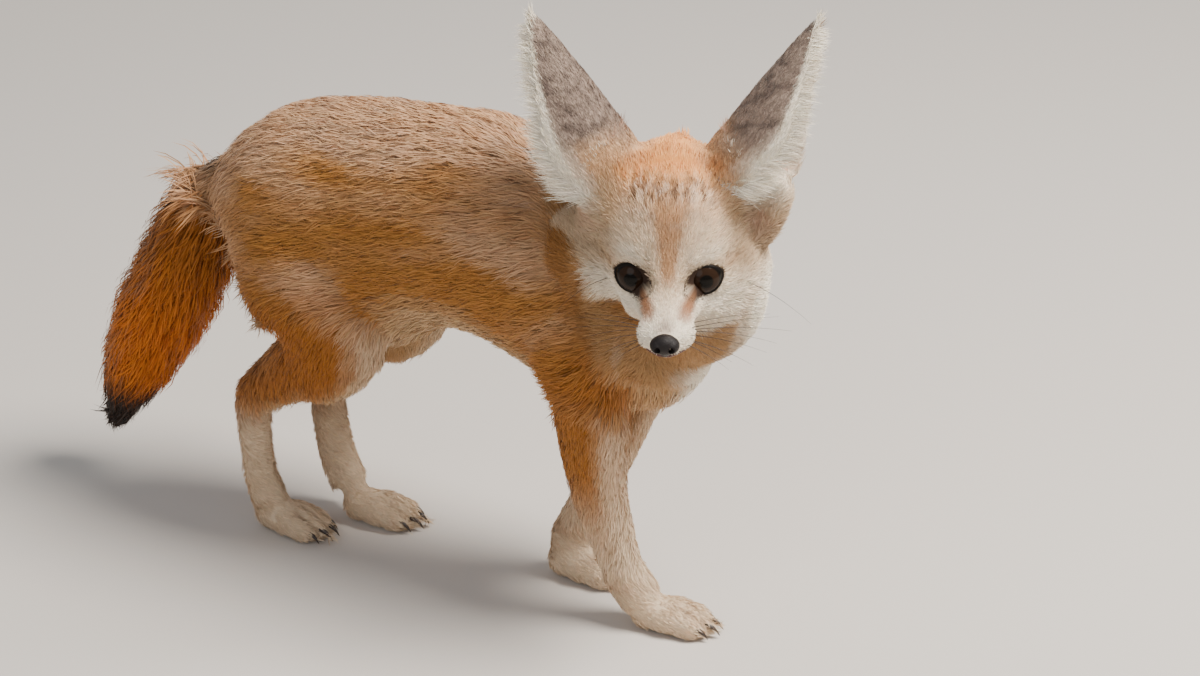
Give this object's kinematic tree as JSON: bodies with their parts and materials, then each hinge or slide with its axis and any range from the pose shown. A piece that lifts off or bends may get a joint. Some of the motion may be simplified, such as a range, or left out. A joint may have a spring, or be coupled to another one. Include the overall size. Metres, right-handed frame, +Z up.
{
  "type": "fennec fox",
  "caption": "Life-size fennec fox in a walking step, head turned to its right, tall cupped ears spread, bushy tail hanging behind.",
  "frame": {"origin": "middle of the bounding box at floor level, between the feet", "axes": "+Z up; the fox's body faces -Y, with the tail toward +Y and the fox's left side toward +X"},
  "size_m": [0.1274, 0.3922, 0.3019],
  "materials": {
    "sand_coat": "short dense fur, sandy",
    "rust_coat": "long bushy fur, orange-brown with a black tip",
    "cream_coat": "short fur, cream",
    "ear_skin": "thin skin under short fur",
    "nose_skin": "moist, finely pebbled",
    "eye_glass": "polished, very dark brown"
  },
  "bodies": {
    "root": {"head": "sand_coat", "neck": "sand_coat", "torso": "sand_coat", "tail": "rust_coat", "foreleg_right": "sand_coat", "foreleg_left": "sand_coat", "hindleg_right": "sand_coat", "hindleg_left": "sand_coat", "forepaw_right": "cream_coat", "forepaw_left": "cream_coat", "hindfoot_right": "cream_coat", "hindfoot_left": "cream_coat", "ear_right": "ear_skin", "ear_left": "ear_skin", "nose": "nose_skin", "eye_right": "eye_glass", "eye_left": "eye_glass"}
  },
  "joints": []
}
